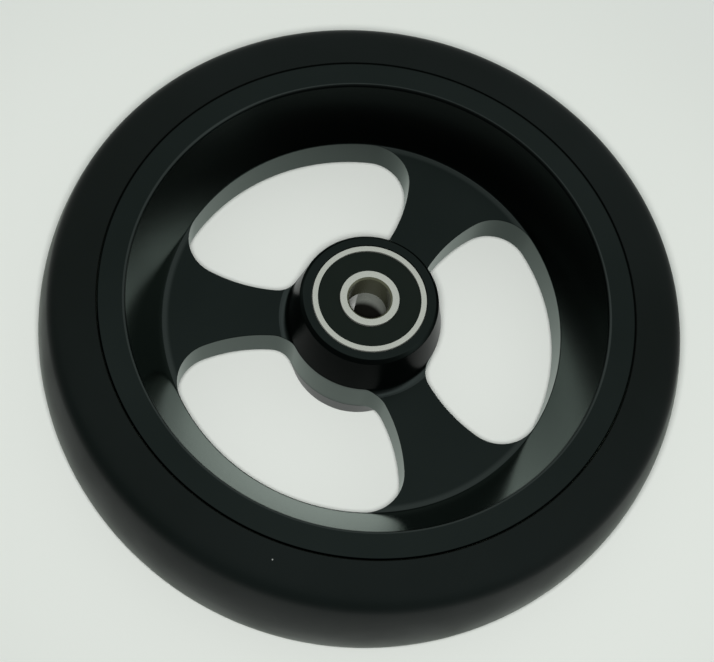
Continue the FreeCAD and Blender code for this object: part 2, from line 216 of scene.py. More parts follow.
def lathe_lines_group():
    """Fine circles round the axle: noise read along the distance from the axle and the height."""
    group, add, join, given, result = effect_group("lathe_lines", {"Lines per metre": 7000.0}, ["Height"])
    parts = add("ShaderNodeSeparateXYZ")
    along = add("ShaderNodeMath", operation="ADD")
    count = add("ShaderNodeMath", operation="MULTIPLY")
    noise = add("ShaderNodeTexNoise", noise_dimensions="1D")
    noise.inputs["Scale"].default_value = 1.0
    noise.inputs["Detail"].default_value = 3.0
    join(given.outputs["Place"], parts.inputs[0])
    join(from_axle(add, join, given.outputs["Place"]), along.inputs[0])
    join(parts.outputs["Z"], along.inputs[1])
    join(along.outputs[0], count.inputs[0])
    join(given.outputs["Lines per metre"], count.inputs[1])
    join(count.outputs[0], noise.inputs["W"])
    join(noise.outputs["Fac"], result.inputs["Height"])
    return group


EFFECTS["lines"] = lathe_lines_group()
print("effect:", EFFECTS["lines"].name)

# %% [markdown]
# ## Shared effects: grain and patches
# Moulded rubber and etched metal have a close, even grain, too fine to model. Gloss that has been
# handled is never even either. Both are noise: one fine and used as a bump, one slow and spread between
# two values, used for roughness or as a mask.

# %% Build the grain and the patches


def grain_group():
    """A close even grain, as on moulded rubber or etched metal."""
    group, add, join, given, result = effect_group("close_grain", {"Grains per metre": 4000.0}, ["Height"])
    noise = add("ShaderNodeTexNoise")
    noise.inputs["Detail"].default_value = 4.0
    noise.inputs["Roughness"].default_value = 0.6
    join(given.outputs["Place"], noise.inputs["Vector"])
    join(given.outputs["Grains per metre"], noise.inputs["Scale"])
    join(noise.outputs["Fac"], result.inputs["Height"])
    return group


def patches_group():
    """Slow soft patches between a low and a high value, for gloss that handling has made uneven."""
    inputs = {"Patches per metre": 60.0, "Low": 0.3, "High": 0.4}
    group, add, join, given, result = effect_group("soft_patches", inputs, ["Value"])
    noise = add("ShaderNodeTexNoise")
    noise.inputs["Detail"].default_value = 5.0
    spread = add("ShaderNodeMapRange")
    spread.inputs["From Min"].default_value = 0.3
    spread.inputs["From Max"].default_value = 0.7
    join(given.outputs["Place"], noise.inputs["Vector"])
    join(given.outputs["Patches per metre"], noise.inputs["Scale"])
    join(noise.outputs["Fac"], spread.inputs["Value"])
    join(given.outputs["Low"], spread.inputs["To Min"])
    join(given.outputs["High"], spread.inputs["To Max"])
    join(spread.outputs["Result"], result.inputs["Value"])
    return group


EFFECTS.update(grain=grain_group(), patches=patches_group())
print("effects so far:", ", ".join(EFFECTS))

# %% [markdown]
# ## Shared effects: specks
# A black part on a table gathers a few specks of dust. They could be modelled, but they are smaller
# than a pixel or two, so a cell texture paints them: a cell may hold one small round speck.

# %% Build the specks


def specks_group():
    """A few small pale specks: the middles of cells, in the few cells with a high random value."""
    inputs = {"Specks per metre": 420.0, "Size": 0.045, "Amount": 0.5}
    group, add, join, given, result = effect_group("dust_specks", inputs, ["Mask"])
    cells = add("ShaderNodeTexVoronoi")
    near = add("ShaderNodeMath", operation="LESS_THAN")
    lucky = add("ShaderNodeSeparateColor")
    kept = add("ShaderNodeMath", operation="GREATER_THAN")
    both = add("ShaderNodeMath", operation="MULTIPLY")
    join(given.outputs["Place"], cells.inputs["Vector"])
    join(given.outputs["Specks per metre"], cells.inputs["Scale"])
    join(cells.outputs["Distance"], near.inputs[0])
    join(given.outputs["Size"], near.inputs[1])
    join(cells.outputs["Color"], lucky.inputs[0])
    join(lucky.outputs[0], kept.inputs[0])
    join(given.outputs["Amount"], kept.inputs[1])
    join(near.outputs[0], both.inputs[0])
    join(kept.outputs[0], both.inputs[1])
    join(both.outputs[0], result.inputs["Mask"])
    return group


EFFECTS["specks"] = specks_group()
print("effect:", EFFECTS["specks"].name)

# %% [markdown]
# ## Shared effects: bands and sides
# On a turned piece a change of tone runs round the axle: a painted highlight on the lip, painted shade
# along the seam, a darker brown bore. Painting by hand would need a texture, so a band is reckoned from
# the distance to the axle and the height. A side is a soft step along a direction, for the few tones that
# don't run all the way round: here painted shade and a painted glint on the sleeve.

# %% Build the bands and the sides


def soft_rise(add, join, given, value):
    """A smooth step from 0 to 1 that starts where the value reaches From, and is Soft long."""
    full = add("ShaderNodeMath", operation="ADD")
    rise = add("ShaderNodeMapRange", interpolation_type="SMOOTHSTEP")
    join(given.outputs["From"], full.inputs[0])
    join(given.outputs["Soft"], full.inputs[1])
    join(value, rise.inputs["Value"])
    join(given.outputs["From"], rise.inputs["From Min"])
    join(full.outputs[0], rise.inputs["From Max"])
    return rise.outputs["Result"]


def band_group():
    """A ring round the axle, soft on its inner side and crisp on its outer one, between two heights."""
    inputs = {"From": 0.0, "Soft": 0.001, "To": 1.0, "Low": -1.0, "High": 1.0}
    group, add, join, given, result = effect_group("worn_band", inputs, ["Mask"])
    parts, height = add("ShaderNodeSeparateXYZ"), add("ShaderNodeMath", operation="ABSOLUTE")
    join(given.outputs["Place"], parts.inputs[0])
    join(parts.outputs["Z"], height.inputs[0])
    distance = from_axle(add, join, given.outputs["Place"])
    mask = soft_rise(add, join, given, distance)
    for value, test, limit in ((distance, "LESS_THAN", "To"),
                               (height.outputs[0], "GREATER_THAN", "Low"),
                               (height.outputs[0], "LESS_THAN", "High")):
        inside, both = add("ShaderNodeMath", operation=test), add("ShaderNodeMath", operation="MULTIPLY")
        join(value, inside.inputs[0])
        join(given.outputs[limit], inside.inputs[1])
        join(mask, both.inputs[0])
        join(inside.outputs[0], both.inputs[1])
        mask = both.outputs[0]
    join(mask, result.inputs["Mask"])
    return group


def side_group():
    """One side of a piece: a soft step along a given direction."""
    inputs = {"Along X": 0.0, "Along Y": 0.0, "Along Z": 0.0, "From": 0.0, "Soft": 0.001}
    group, add, join, given, result = effect_group("one_side", inputs, ["Mask"])
    way, reach = add("ShaderNodeCombineXYZ"), add("ShaderNodeVectorMath", operation="DOT_PRODUCT")
    for axis in "XYZ":
        join(given.outputs["Along " + axis], way.inputs[axis])
    join(given.outputs["Place"], reach.inputs[0])
    join(way.outputs[0], reach.inputs[1])
    join(soft_rise(add, join, given, reach.outputs["Value"]), result.inputs["Mask"])
    return group


EFFECTS.update(band=band_group(), side=side_group())
print("effects in all:", ", ".join(group.name for group in EFFECTS.values()))

# %% [markdown]
# ## Finishes
# Each finish is one Principled shader. What stays the same all over is set on the shader itself, and
# only what changes from place to place comes from an effect. The blacks are very deep: almost all
# that the eye sees on them is gloss, so the gloss gets the care and the colour stays near zero.

# %% Helpers for finishes
MM = 0.001
# A Mix node has sockets of the same name for numbers and for colours, so its colours go by number
MIX_FROM, MIX_TO, MIX_RESULT = 6, 7, 2


class Finish:
    """A material with one Principled shader, and short ways to feed it with the shared effects."""

    def __init__(self, name, colour, roughness, metallic=0.0, specular=0.5):
        self.material = bpy.data.materials.new(name)
        self.material.use_nodes = True
        self.add, self.join = plain_nodes(self.material.node_tree)
        self.shader = self.add("ShaderNodeBsdfPrincipled")
        self.colour = colour
        self.set("Base Color", colour)
        self.set("Roughness", roughness)
        self.set("Metallic", metallic)
        self.set("Specular IOR Level", specular)
        self.place = self.add("ShaderNodeTexCoord").outputs["Object"]
        self.normal = None
        self.join(self.shader.outputs[0], self.add("ShaderNodeOutputMaterial").inputs["Surface"])

    def set(self, socket, value):
        self.shader.inputs[socket].default_value = (*value, 1.0) if isinstance(value, tuple) else value

    def effect(self, kind, **values):
        """Place one of the shared effects, with its values given by socket name."""
        node = self.add("ShaderNodeGroup", node_tree=EFFECTS[kind])
        self.join(self.place, node.inputs["Place"])
        for socket, value in values.items():
            node.inputs[socket.replace("_", " ")].default_value = value
        return node.outputs[0]

    def bump(self, kind, depth_mm, strength, **values):
        """Raise the surface by a shared effect; bumps placed later ride on the earlier ones."""
        node = self.add("ShaderNodeBump")
        node.inputs["Strength"].default_value = strength
        node.inputs["Distance"].default_value = depth_mm * MM
        self.join(self.effect(kind, **values), node.inputs["Height"])
        if self.normal:
            self.join(self.normal, node.inputs["Normal"])
        self.normal = node.outputs["Normal"]
        self.join(self.normal, self.shader.inputs["Normal"])

    def rough(self, patches_per_metre, low, high):
        """Let the roughness wander between two values in soft patches."""
        value = self.effect("patches", Patches_per_metre=patches_per_metre, Low=low, High=high)
        self.join(value, self.shader.inputs["Roughness"])

    def lead(self, socket, mask, low, high):
        """Lead a plain value of the shader from low to high where the mask is high."""
        node = self.add("ShaderNodeMapRange")
        node.inputs["To Min"].default_value, node.inputs["To Max"].default_value = low, high
        self.join(mask, node.inputs["Value"])
        self.join(node.outputs["Result"], self.shader.inputs[socket])

    def tint(self, mask, other):
        """Lead the colour from where it is now to another one, where the mask is high."""
        node = self.add("ShaderNodeMix", data_type="RGBA")
        socket = self.shader.inputs["Base Color"]
        if socket.is_linked:
            self.join(socket.links[0].from_socket, node.inputs[MIX_FROM])
        else:
            node.inputs[MIX_FROM].default_value = (*self.colour, 1.0)
        node.inputs[MIX_TO].default_value = (*other, 1.0)
        self.join(mask, node.inputs["Factor"])
        self.join(node.outputs[MIX_RESULT], socket)


FINISHES = {}
print("ready to mix finishes with", len(EFFECTS), "effects")

# %% [markdown]
# ## Black aluminium
# The wheel centre is turned and milled aluminium, blackened right through its skin: it scatters no
# light, and all that is seen on it is a weak mirror image of the room, a little green at a low angle.
# A black paint would scatter light and look grey, so it is a metal here, with a very dark mirror colour.
# The sloping wall and the window walls are a shade paler than the flat faces. The hub's flank is the
# deepest black and mirrors least. Three narrow bands are painted paler as painted highlights: at the
# hub's foot, at the spokes' outer ends and on the rim's lip. Where the rim meets the tyre, painted shade
# darkens it.

# %% Mix the black aluminium
FLAT_BLACK, FLAT_PATCH = (0.0158, 0.0215, 0.0202), (0.0220, 0.0285, 0.0272)
CONE_BLACK, WALL_BLACK = (0.084, 0.104, 0.095), (0.036, 0.044, 0.041)
# The seam colour is painted shade in the crease where the rim meets the tyre
FLANK_BLACK, PAINTED_SEAM_SHADE = (0.0010, 0.0016, 0.0014), (0.002, 0.003, 0.003)
# Painted highlights: paler bands on the fillets and the lip, where each catches a line of light
PAINTED_HIGHLIGHT_AT_FOOT, PAINTED_HIGHLIGHT_AT_SPOKES = (0.046, 0.056, 0.055), (0.044, 0.053, 0.051)
PAINTED_HIGHLIGHT_AT_LIP = (0.046, 0.055, 0.053)
LOW_ANGLE_TINT = (0.94, 1.0, 0.965)
DUST = (0.20, 0.21, 0.20)
FROM_AXLE = -0.001  # a band that starts before the axle line is full from there on


def black_aluminium():
    """Nearly black metal. Its bands are given in metres: distances from the axle, and heights."""
    finish = Finish("black_aluminium", FLAT_BLACK, 0.3, metallic=1.0, specular=0.03)
    finish.set("Specular Tint", LOW_ANGLE_TINT)
    patches = finish.effect("patches", Patches_per_metre=20.0, Low=0.0, High=1.0)
    cone = finish.effect("band", From=0.0391, Soft=0.0001, To=0.0456, Low=0.0037, High=0.0150)
    walls = finish.effect("band", From=FROM_AXLE, To=0.0392, High=0.0036)
    flank = finish.effect("band", From=0.0131, Soft=0.0001, To=0.0160, Low=0.0044, High=0.0130)
    # The bands at the hub's foot, the spokes' ends and the rim's lip are painted highlights
    hub_foot = finish.effect("band", From=0.0150, Soft=0.0005, To=0.0166, Low=0.0036, High=0.0044)
    spoke_ends = finish.effect("band", From=0.0376, Soft=0.0009, To=0.03902, Low=0.0036, High=0.0038)
    rim_lip = finish.effect("band", From=0.0457, Soft=0.0002, To=0.04622, Low=0.0151, High=0.0156)
    # Painted shade along the rim's edge at the seam with the tyre
    seam = finish.effect("band", From=0.05055, Soft=0.0001, To=0.0520, Low=0.0150, High=0.0156)
    specks = finish.effect("specks", Specks_per_metre=210.0, Size=0.022, Amount=0.93)
    for mask, colour in ((patches, FLAT_PATCH), (cone, CONE_BLACK), (walls, WALL_BLACK),
                         (flank, FLANK_BLACK), (hub_foot, PAINTED_HIGHLIGHT_AT_FOOT), (spoke_ends, PAINTED_HIGHLIGHT_AT_SPOKES),
                         (rim_lip, PAINTED_HIGHLIGHT_AT_LIP), (seam, PAINTED_SEAM_SHADE), (specks, DUST)):
        finish.tint(mask, colour)
    finish.lead("Metallic", flank, 1.0, 0.0)
    finish.lead("Roughness", cone, 0.28, 0.20)
    finish.bump("lines", depth_mm=0.004, strength=0.25, Lines_per_metre=7000.0)
    finish.bump("grain", depth_mm=0.003, strength=0.2, Grains_per_metre=9000.0)
    return finish.material


FINISHES["black_aluminium"] = black_aluminium()
print("mixed:", FINISHES["black_aluminium"].name)

# %% [markdown]
# ## Tyre rubber
# The tyre is a soft moulded rubber: nearly the same black as the metal, but matt, a touch green, with a
# close grain and a faint sheen at low angles. A stronger gloss would be simpler, but it would mirror the
# room as the metal does. Painted shade darkens the tyre's inner edge too, where it meets the rim.

# %% Mix the tyre rubber
RUBBER_BLACK, RUBBER_PATCH = (0.0024, 0.0038, 0.0032), (0.0050, 0.0072, 0.0068)
# The seam colour is painted shade where the tyre meets the rim
PAINTED_RUBBER_SEAM_SHADE, RUBBER_SHEEN = (0.0004, 0.0008, 0.0006), (0.72, 0.95, 0.68)


def tyre_rubber():
    """Matt black rubber with a close grain, a faint sheen and painted shade on its inner edge."""
    finish = Finish("tyre_rubber", RUBBER_BLACK, 0.45, specular=0.10)
    finish.set("Sheen Weight", 0.03)
    finish.set("Sheen Roughness", 0.30)
    finish.set("Sheen Tint", RUBBER_SHEEN)
    finish.tint(finish.effect("patches", Patches_per_metre=14.0, Low=0.0, High=1.0), RUBBER_PATCH)
    # Painted shade on the tyre's inner edge, where it meets the rim
    finish.tint(finish.effect("band", From=FROM_AXLE, To=0.0511), PAINTED_RUBBER_SEAM_SHADE)
    finish.rough(patches_per_metre=80.0, low=0.40, high=0.50)
    finish.bump("grain", depth_mm=0.02, strength=0.25, Grains_per_metre=3500.0)
    finish.tint(finish.effect("specks", Specks_per_metre=160.0, Size=0.022, Amount=0.9), DUST)
    return finish.material


FINISHES["tyre"] = tyre_rubber()
print("mixed:", FINISHES["tyre"].name)

# %% [markdown]
# ## Three steels
# The rings' faces are ground, so their circles are very fine and the steel looks white rather than
# mirror-like. Their bore is tinted darker and brown. The sleeve between the bearings is a plainer
# turned steel, dull and darkened further down by painted shade, with a painted glint down one side.
# The balls are polished. One steel could serve for all, but on such small pieces the finish is what tells
# them apart.

# %% Mix the steels
RING_STEEL, RING_METALLIC = (0.56, 0.575, 0.525), 0.75
DARK_BROWN_BORE, BORE_METALLIC, BORE_REACH = (0.090, 0.094, 0.062), 0.35, 0.00436
SLEEVE_STEEL, SLEEVE_METALLIC = (0.35, 0.37, 0.33), 0.45
# The dark sleeve colour is painted shade deep in the bore; the bright one is a painted glint
PAINTED_SLEEVE_SHADE, PAINTED_SLEEVE_GLINT = (0.012, 0.012, 0.010), (0.95, 0.97, 0.93)
BALL_STEEL = (0.78, 0.78, 0.77)


def ground_steel():
    """Ground rings: pale faces with fine circles, and a darker brown bore."""
    finish = Finish("bearing_steel", RING_STEEL, 0.2, metallic=RING_METALLIC)
    bore = finish.effect("band", From=FROM_AXLE, To=BORE_REACH)
    # The bore is tinted darker and brown
    finish.tint(bore, DARK_BROWN_BORE)
    finish.lead("Metallic", bore, RING_METALLIC, BORE_METALLIC)
    finish.rough(patches_per_metre=300.0, low=0.16, high=0.26)
    finish.bump("lines", depth_mm=0.002, strength=0.3, Lines_per_metre=14000.0)
    return finish.material


def turned_steel():
    """The sleeve: coarse circles, painted shade further down, and a painted glint down one side."""
    finish = Finish("sleeve_steel", SLEEVE_STEEL, 0.3, metallic=SLEEVE_METALLIC, specular=0.0)
    # Painted shade: the sleeve darkens further down in the bore
    below = finish.effect("side", Along_Z=-1.0, From=-0.0040, Soft=0.0034)
    finish.tint(below, PAINTED_SLEEVE_SHADE)
    finish.lead("Metallic", below, SLEEVE_METALLIC, 0.0)
    # Painted glint: a bright streak down one side of the sleeve
    painted_glint = finish.effect("side", Along_X=-0.85, Along_Y=-0.52, From=0.0014, Soft=0.0002)
    finish.tint(painted_glint, PAINTED_SLEEVE_GLINT)
    finish.rough(patches_per_metre=250.0, low=0.22, high=0.38)
    finish.bump("lines", depth_mm=0.008, strength=0.4, Lines_per_metre=5000.0)
    return finish.material


def polished_steel():
    """The balls: a clear mirror with hardly any unevenness."""
    finish = Finish("ball_steel", BALL_STEEL, 0.08, metallic=1.0)
    finish.rough(patches_per_metre=500.0, low=0.05, high=0.12)
    return finish.material


FINISHES.update(bearing_steel=ground_steel(), sleeve_steel=turned_steel(), ball_steel=polished_steel())
print("finishes so far:", ", ".join(FINISHES))

# %% [markdown]
# ## Seal rubber and cage nylon
# The seals are black rubber with a soft gloss and a few specks of dust. The cage is a smooth natural
# nylon. Both are mouldings, so both get the close grain of a mould instead of a lathe's circles.

# %% Mix the rubber and the nylon
SEAL_BLACK, NYLON = (0.0040, 0.0065, 0.0050), (0.62, 0.58, 0.48)


def seal_rubber():
    """Black rubber, a little glossier in some places than in others."""
    finish = Finish("seal_rubber", SEAL_BLACK, 0.5, specular=0.12)
    finish.rough(patches_per_metre=220.0, low=0.42, high=0.56)
    finish.bump("grain", depth_mm=0.015, strength=0.25, Grains_per_metre=5000.0)
    finish.tint(finish.effect("specks", Specks_per_metre=500.0, Size=0.035, Amount=0.95), DUST)
    return finish.material


def cage_nylon():
    """Natural nylon, as moulded."""
    finish = Finish("cage_nylon", NYLON, 0.45, specular=0.5)
    finish.rough(patches_per_metre=300.0, low=0.38, high=0.52)
    finish.bump("grain", depth_mm=0.02, strength=0.25, Grains_per_metre=4000.0)
    return finish.material


FINISHES.update(seal_rubber=seal_rubber(), cage_nylon=cage_nylon())
print("finishes in all:", len(FINISHES))

# %% [markdown]
# ## Drawing a cross-section
# Nearly everything here was made on a lathe, and Blender's Spin is a lathe: a cross-section is drawn on
# one side of the axle line and swept round it. The drawing comes first. It is a list of corners in
# millimetres, as on a workshop sketch, and a corner with a rounding becomes a small arc. A Bevel modifier
# could round the edges later, but it would give all of them the same size.

# %% Helpers for drawing
ARC_STEP, FEWEST_STEPS = math.radians(10), 3


def arc(centre, start, end):
    """Points (radius, height) along the shorter arc round a centre, both ends included."""
    first = math.atan2(start[1] - centre[1], start[0] - centre[0])
    sweep = math.atan2(end[1] - centre[1], end[0] - centre[0]) - first
    sweep = (sweep + math.pi) % (2 * math.pi) - math.pi
    size = math.dist(centre, start)
    steps = max(FEWEST_STEPS, math.ceil(abs(sweep) / ARC_STEP))
    return [(centre[0] + size * math.cos(first + sweep * i / steps),
             centre[1] + size * math.sin(first + sweep * i / steps)) for i in range(steps + 1)]


def eased(before, corner, after, rounding):
    """The small arc that takes a corner's place, touching the lines on both sides of it."""
    here, back, on = Vector(corner), Vector(before), Vector(after)
    back, on = (back - here).normalized(), (on - here).normalized()
    half = back.angle(on) / 2
    centre = here + (back + on).normalized() * (rounding / math.sin(half))
    reach = rounding / math.tan(half)
    return arc(tuple(centre), tuple(here + back * reach), tuple(here + on * reach))


def outline(corners):
    """Points of a closed cross-section from (radius, height) or (radius, height, rounding) corners."""
    points = []
    for i, corner in enumerate(corners):
        before, after = corners[i - 1][:2], corners[(i + 1) % len(corners)][:2]
        points += eased(before, corner[:2], after, corner[2]) if len(corner) == 3 else [corner]
    return points


def both_sides(half):
    """A half cross-section walked on through its mirror image below the middle."""
    return half + [(corner[0], -corner[1], *corner[2:]) for corner in reversed(half)]


print("arcs are drawn in steps of", round(math.degrees(ARC_STEP)), "degrees or less")

# %% [markdown]
# ## Spinning it
# The line is drawn as by hand, by extruding one vertex from corner to corner, and then spun all the way
# round. Where the sweep comes back to its start, the doubled points are merged, and the faces are turned
# outwards, because Spin can leave a shape inside out. A Screw modifier could do it, but hides these steps.

# %% Helper for spinning
LINE_MERGE, SWEEP_MERGE = 1e-7, 1e-6


def spin_piece(name, points, steps, lift=0.0):
    """Draw a closed cross-section in millimetres beside the axle line and spin it all the way round."""
    bpy.ops.object.select_all(action="DESELECT")
    bpy.ops.mesh.primitive_plane_add(size=MM)
    piece = bpy.context.object
    piece.name = piece.data.name = name
    places = [Vector((radius * MM, 0, (height + lift) * MM)) for radius, height in points]
    bpy.ops.object.mode_set(mode="EDIT")
    bpy.ops.mesh.select_all(action="SELECT")
    bpy.ops.mesh.merge(type="CENTER")
    bpy.ops.transform.translate(value=places[0])
    for here, there in zip(places, places[1:] + places[:1]):
        bpy.ops.mesh.extrude_vertices_move(TRANSFORM_OT_translate={"value": there - here})
    bpy.ops.mesh.select_all(action="SELECT")
    bpy.ops.mesh.remove_doubles(threshold=LINE_MERGE)
    bpy.ops.mesh.spin(steps=steps, angle=2 * math.pi, center=(0, 0, 0), axis=(0, 0, 1))
    bpy.ops.mesh.select_all(action="SELECT")
    bpy.ops.mesh.remove_doubles(threshold=SWEEP_MERGE)
    bpy.ops.mesh.normals_make_consistent(inside=False)
    bpy.ops.object.mode_set(mode="OBJECT")
    return piece


print("lathe ready, points closer than", SWEEP_MERGE, "m are merged")

# %% [markdown]
# ## Dressing a piece
# Turned faces must shade as round, while real corners stay crisp and flat faces flat. Smooth shading by
# angle does the first, and weighted normals do the second. The piece then gets its material and the body
# that it moves with, and the solid that it stands for is hidden.

# %% Helpers for dressing
SHARP_ANGLE = math.radians(32)


def smooth(piece):
    """Smooth shading that keeps real corners crisp and leaves large faces flat."""
    bpy.ops.object.select_all(action="DESELECT")
    piece.select_set(True)
    bpy.context.view_layer.objects.active = piece
    bpy.ops.object.shade_smooth_by_angle(angle=SHARP_ANGLE)
    bpy.ops.object.modifier_add(type="WEIGHTED_NORMAL")
    piece.modifiers[-1].keep_sharp = True
    bpy.ops.object.modifier_apply(modifier=piece.modifiers[-1].name)


def dress(piece, finish, body, *stands_for):
    """Give a finished piece its material and the body it rides on, and hide the nodes it stands for."""
    smooth(piece)
    piece.data.materials.clear()
    piece.data.materials.append(FINISHES[finish])
    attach(piece, body)
    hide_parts(*stands_for)
    print(piece.name, len(piece.data.polygons), "faces")


print("edges sharper than", round(math.degrees(SHARP_ANGLE)), "degrees stay crisp")

# %% [markdown]
# ## The tyre
# A soft tyre moulded round the rim and keyed into the rim's channel by a rib. Its tread is one long
# slow arc from side to side. The flat side face first leans away in a slow lead-in arc, and then a
# small arc rolls it over into the tread. The inner edge of the side face is eased, which leaves the
# thin dark seam against the rim. A torus would be far too round, so the tyre is drawn and spun.

# %% Turn the tyre
WHEEL_RADIUS, RIM_RADIUS, RIM_HALF = 62.5, 50.85, 15.5
CHANNEL_RADIUS, CHANNEL_HALF, CHANNEL_SLOPE = 46.85, 7.0, 2.0
CROWN_RADIUS, SHOULDER_RADIUS = 38.7, 3.0
LEAD_RADIUS, LEAD_TURN = 10.0, math.radians(12)
SEAT_GAP = 0.03
SEAM_ROUND, CHANNEL_ROUND = 0.36, 0.3
TREAD_ANGLES = (19, 17, 14, 11, 8, 5, 2)
WHEEL_STEPS = 288

crown_centre = (WHEEL_RADIUS - CROWN_RADIUS, 0.0)
lean = Vector((math.sin(LEAD_TURN), math.cos(LEAD_TURN)))
shoulder_high = RIM_HALF - LEAD_RADIUS + (LEAD_RADIUS - SHOULDER_RADIUS) * lean.y
shoulder_out = math.sqrt((CROWN_RADIUS - SHOULDER_RADIUS) ** 2 - shoulder_high ** 2)
shoulder_centre = Vector((crown_centre[0] + shoulder_out, shoulder_high))
lead_centre = shoulder_centre - lean * (LEAD_RADIUS - SHOULDER_RADIUS)
lead_start, lead_end = (lead_centre.x, RIM_HALF), tuple(lead_centre + lean * LEAD_RADIUS)
share = CROWN_RADIUS / (CROWN_RADIUS - SHOULDER_RADIUS)
tread_end = (crown_centre[0] + shoulder_out * share, shoulder_high * share)

seat = RIM_RADIUS + SEAT_GAP
seat_half = outline([
    (CHANNEL_RADIUS + SEAT_GAP, 0.0),
    (CHANNEL_RADIUS + SEAT_GAP, CHANNEL_HALF - SEAT_GAP, CHANNEL_ROUND),
    (seat, CHANNEL_HALF + CHANNEL_SLOPE - SEAT_GAP, CHANNEL_ROUND),
    (seat, RIM_HALF, SEAM_ROUND),
    lead_start,
])[1:-1]
tread_half = [(crown_centre[0] + CROWN_RADIUS * math.cos(math.radians(a)),
               CROWN_RADIUS * math.sin(math.radians(a))) for a in TREAD_ANGLES]
lead_in = arc(lead_centre, lead_start, lead_end)[:-1]
tyre_half = seat_half + lead_in + arc(shoulder_centre, lead_end, tread_end) + tread_half
tyre = spin_piece("tyre_moulded", both_sides(tyre_half), WHEEL_STEPS)
dress(tyre, "tyre", "wheel", "tyre")

# %% [markdown]
# ## The wheel centre
# Rim, sloping wall, web and hub are one piece of aluminium: turned first, then the three windows are
# milled through the web. It is made here in the same order. The cross-section carries the soft
# fillet at the hub's foot, a close one at the sloping wall's foot and a round lip at its top, because
# each of them gathers its own line of light.

# %% Turn the wheel centre
FLANGE_RADIUS, DISH_RADIUS, WEB_HALF = 45.95, 39.1, 3.7
HUB_RADIUS, HUB_FOOT, HUB_HALF = 13.3, 15.2, 13.7
POCKET_RADIUS, BEARING_WIDTH, SHOULDER_BORE = 11.03, 7.0, 9.53
DISH_FILLET, HUB_FILLET, FLANGE_ROUND = 0.4, 1.4, 0.6
HUB_CHAMFER, HUB_EDGE, RIM_EDGE, POCKET_EDGE, SHOULDER_EDGE = 0.7, 0.3, 0.25, 0.1, 0.15

centre_half = [
    (SHOULDER_BORE, HUB_HALF - BEARING_WIDTH, SHOULDER_EDGE),
    (POCKET_RADIUS, HUB_HALF - BEARING_WIDTH),
    (POCKET_RADIUS, HUB_HALF, POCKET_EDGE),
    (HUB_RADIUS - HUB_CHAMFER, HUB_HALF, HUB_EDGE),
    (HUB_RADIUS, HUB_HALF - HUB_CHAMFER, HUB_EDGE),
    (HUB_FOOT, WEB_HALF, HUB_FILLET),
    (DISH_RADIUS, WEB_HALF, DISH_FILLET),
    (FLANGE_RADIUS, RIM_HALF, FLANGE_ROUND),
    (RIM_RADIUS, RIM_HALF, RIM_EDGE),
    (RIM_RADIUS, CHANNEL_HALF + CHANNEL_SLOPE, CHANNEL_ROUND),
    (CHANNEL_RADIUS, CHANNEL_HALF, CHANNEL_ROUND),
]
wheel_centre = spin_piece("wheel_centre_machined", outline(both_sides(centre_half)), WHEEL_STEPS)
print(wheel_centre.name, "turned:", len(wheel_centre.data.polygons), "faces")

# %% [markdown]
# ## The windows
# Each window is one closed line of arcs: a long one along the sloping wall, two that form the waisted
# flanks of the spokes, one round the hub, and four round corners. Drawn freely it would never look
# milled, so each corner's centre is reckoned from the two lines that the corner touches.

# %% Draw the window's line
WINDOW_OUTER, WINDOW_INNER = 39.05, 15.05
FLANK_RADIUS, WAIST_HALF, WAIST_DISTANCE = 31.0, 4.8, 17.1
CORNER_RADIUS, ROOT_RADIUS = 8.0, 5.0
HALF_WINDOW = math.radians(60)
RIM_STEPS, CORNER_STEPS, FLANK_STEPS, HUB_STEPS = 14, 14, 16, 8


def meeting(near, near_size, far, far_size):
    """The upper crossing of two circles, which is the centre of a corner that touches both lines."""
    span = far - near
    along = (near_size ** 2 - far_size ** 2 + span.length_squared) / (2 * span.length)
    across = math.sqrt(near_size ** 2 - along ** 2)
    on = span.normalized()
    return near + on * along + Vector((-on.y, on.x)) * across


def window_line():
    """Points of one window about the X axis, each with the direction that leads out of the window."""
    hub = Vector((0.0, 0.0))
    off = WAIST_HALF + FLANK_RADIUS
    flank = Vector((WAIST_DISTANCE * math.cos(HALF_WINDOW) + off * math.sin(HALF_WINDOW),
                    WAIST_DISTANCE * math.sin(HALF_WINDOW) - off * math.cos(HALF_WINDOW)))
    corner = meeting(hub, WINDOW_OUTER - CORNER_RADIUS, flank, FLANK_RADIUS - CORNER_RADIUS)
    root = meeting(hub, WINDOW_INNER + ROOT_RADIUS, flank, FLANK_RADIUS - ROOT_RADIUS)
    rim_end = corner.normalized() * WINDOW_OUTER
    flank_out = flank + (corner - flank).normalized() * FLANK_RADIUS
    flank_in = flank + (root - flank).normalized() * FLANK_RADIUS
    hub_end = root.normalized() * WINDOW_INNER
    # Each arc has its centre, start, end, steps, and -1 where out of the window is towards the centre
    upper = [(hub, Vector((WINDOW_OUTER, 0)), rim_end, RIM_STEPS, 1),
             (corner, rim_end, flank_out, CORNER_STEPS, 1),
             (flank, flank_out, flank_in, FLANK_STEPS, 1),
             (root, flank_in, hub_end, CORNER_STEPS, 1),
             (hub, hub_end, Vector((WINDOW_INNER, 0)), HUB_STEPS, -1)]
    half = []
    for centre, start, end, steps, out in upper:
        first = math.atan2(*(start - centre).yx)
        sweep = (math.atan2(*(end - centre).yx) - first + math.pi) % (2 * math.pi) - math.pi
        for i in range(steps):
            way = Vector((math.cos(first + sweep * i / steps), math.sin(first + sweep * i / steps)))
            half.append((centre + way * (start - centre).length, way * out))
    middle = (Vector((WINDOW_INNER, 0)), Vector((-1, 0)))
    lower = [(Vector((p.x, -p.y)), Vector((w.x, -w.y))) for p, w in reversed(half[1:])]
    return half + [middle] + lower


print("window line:", len(window_line()), "points")

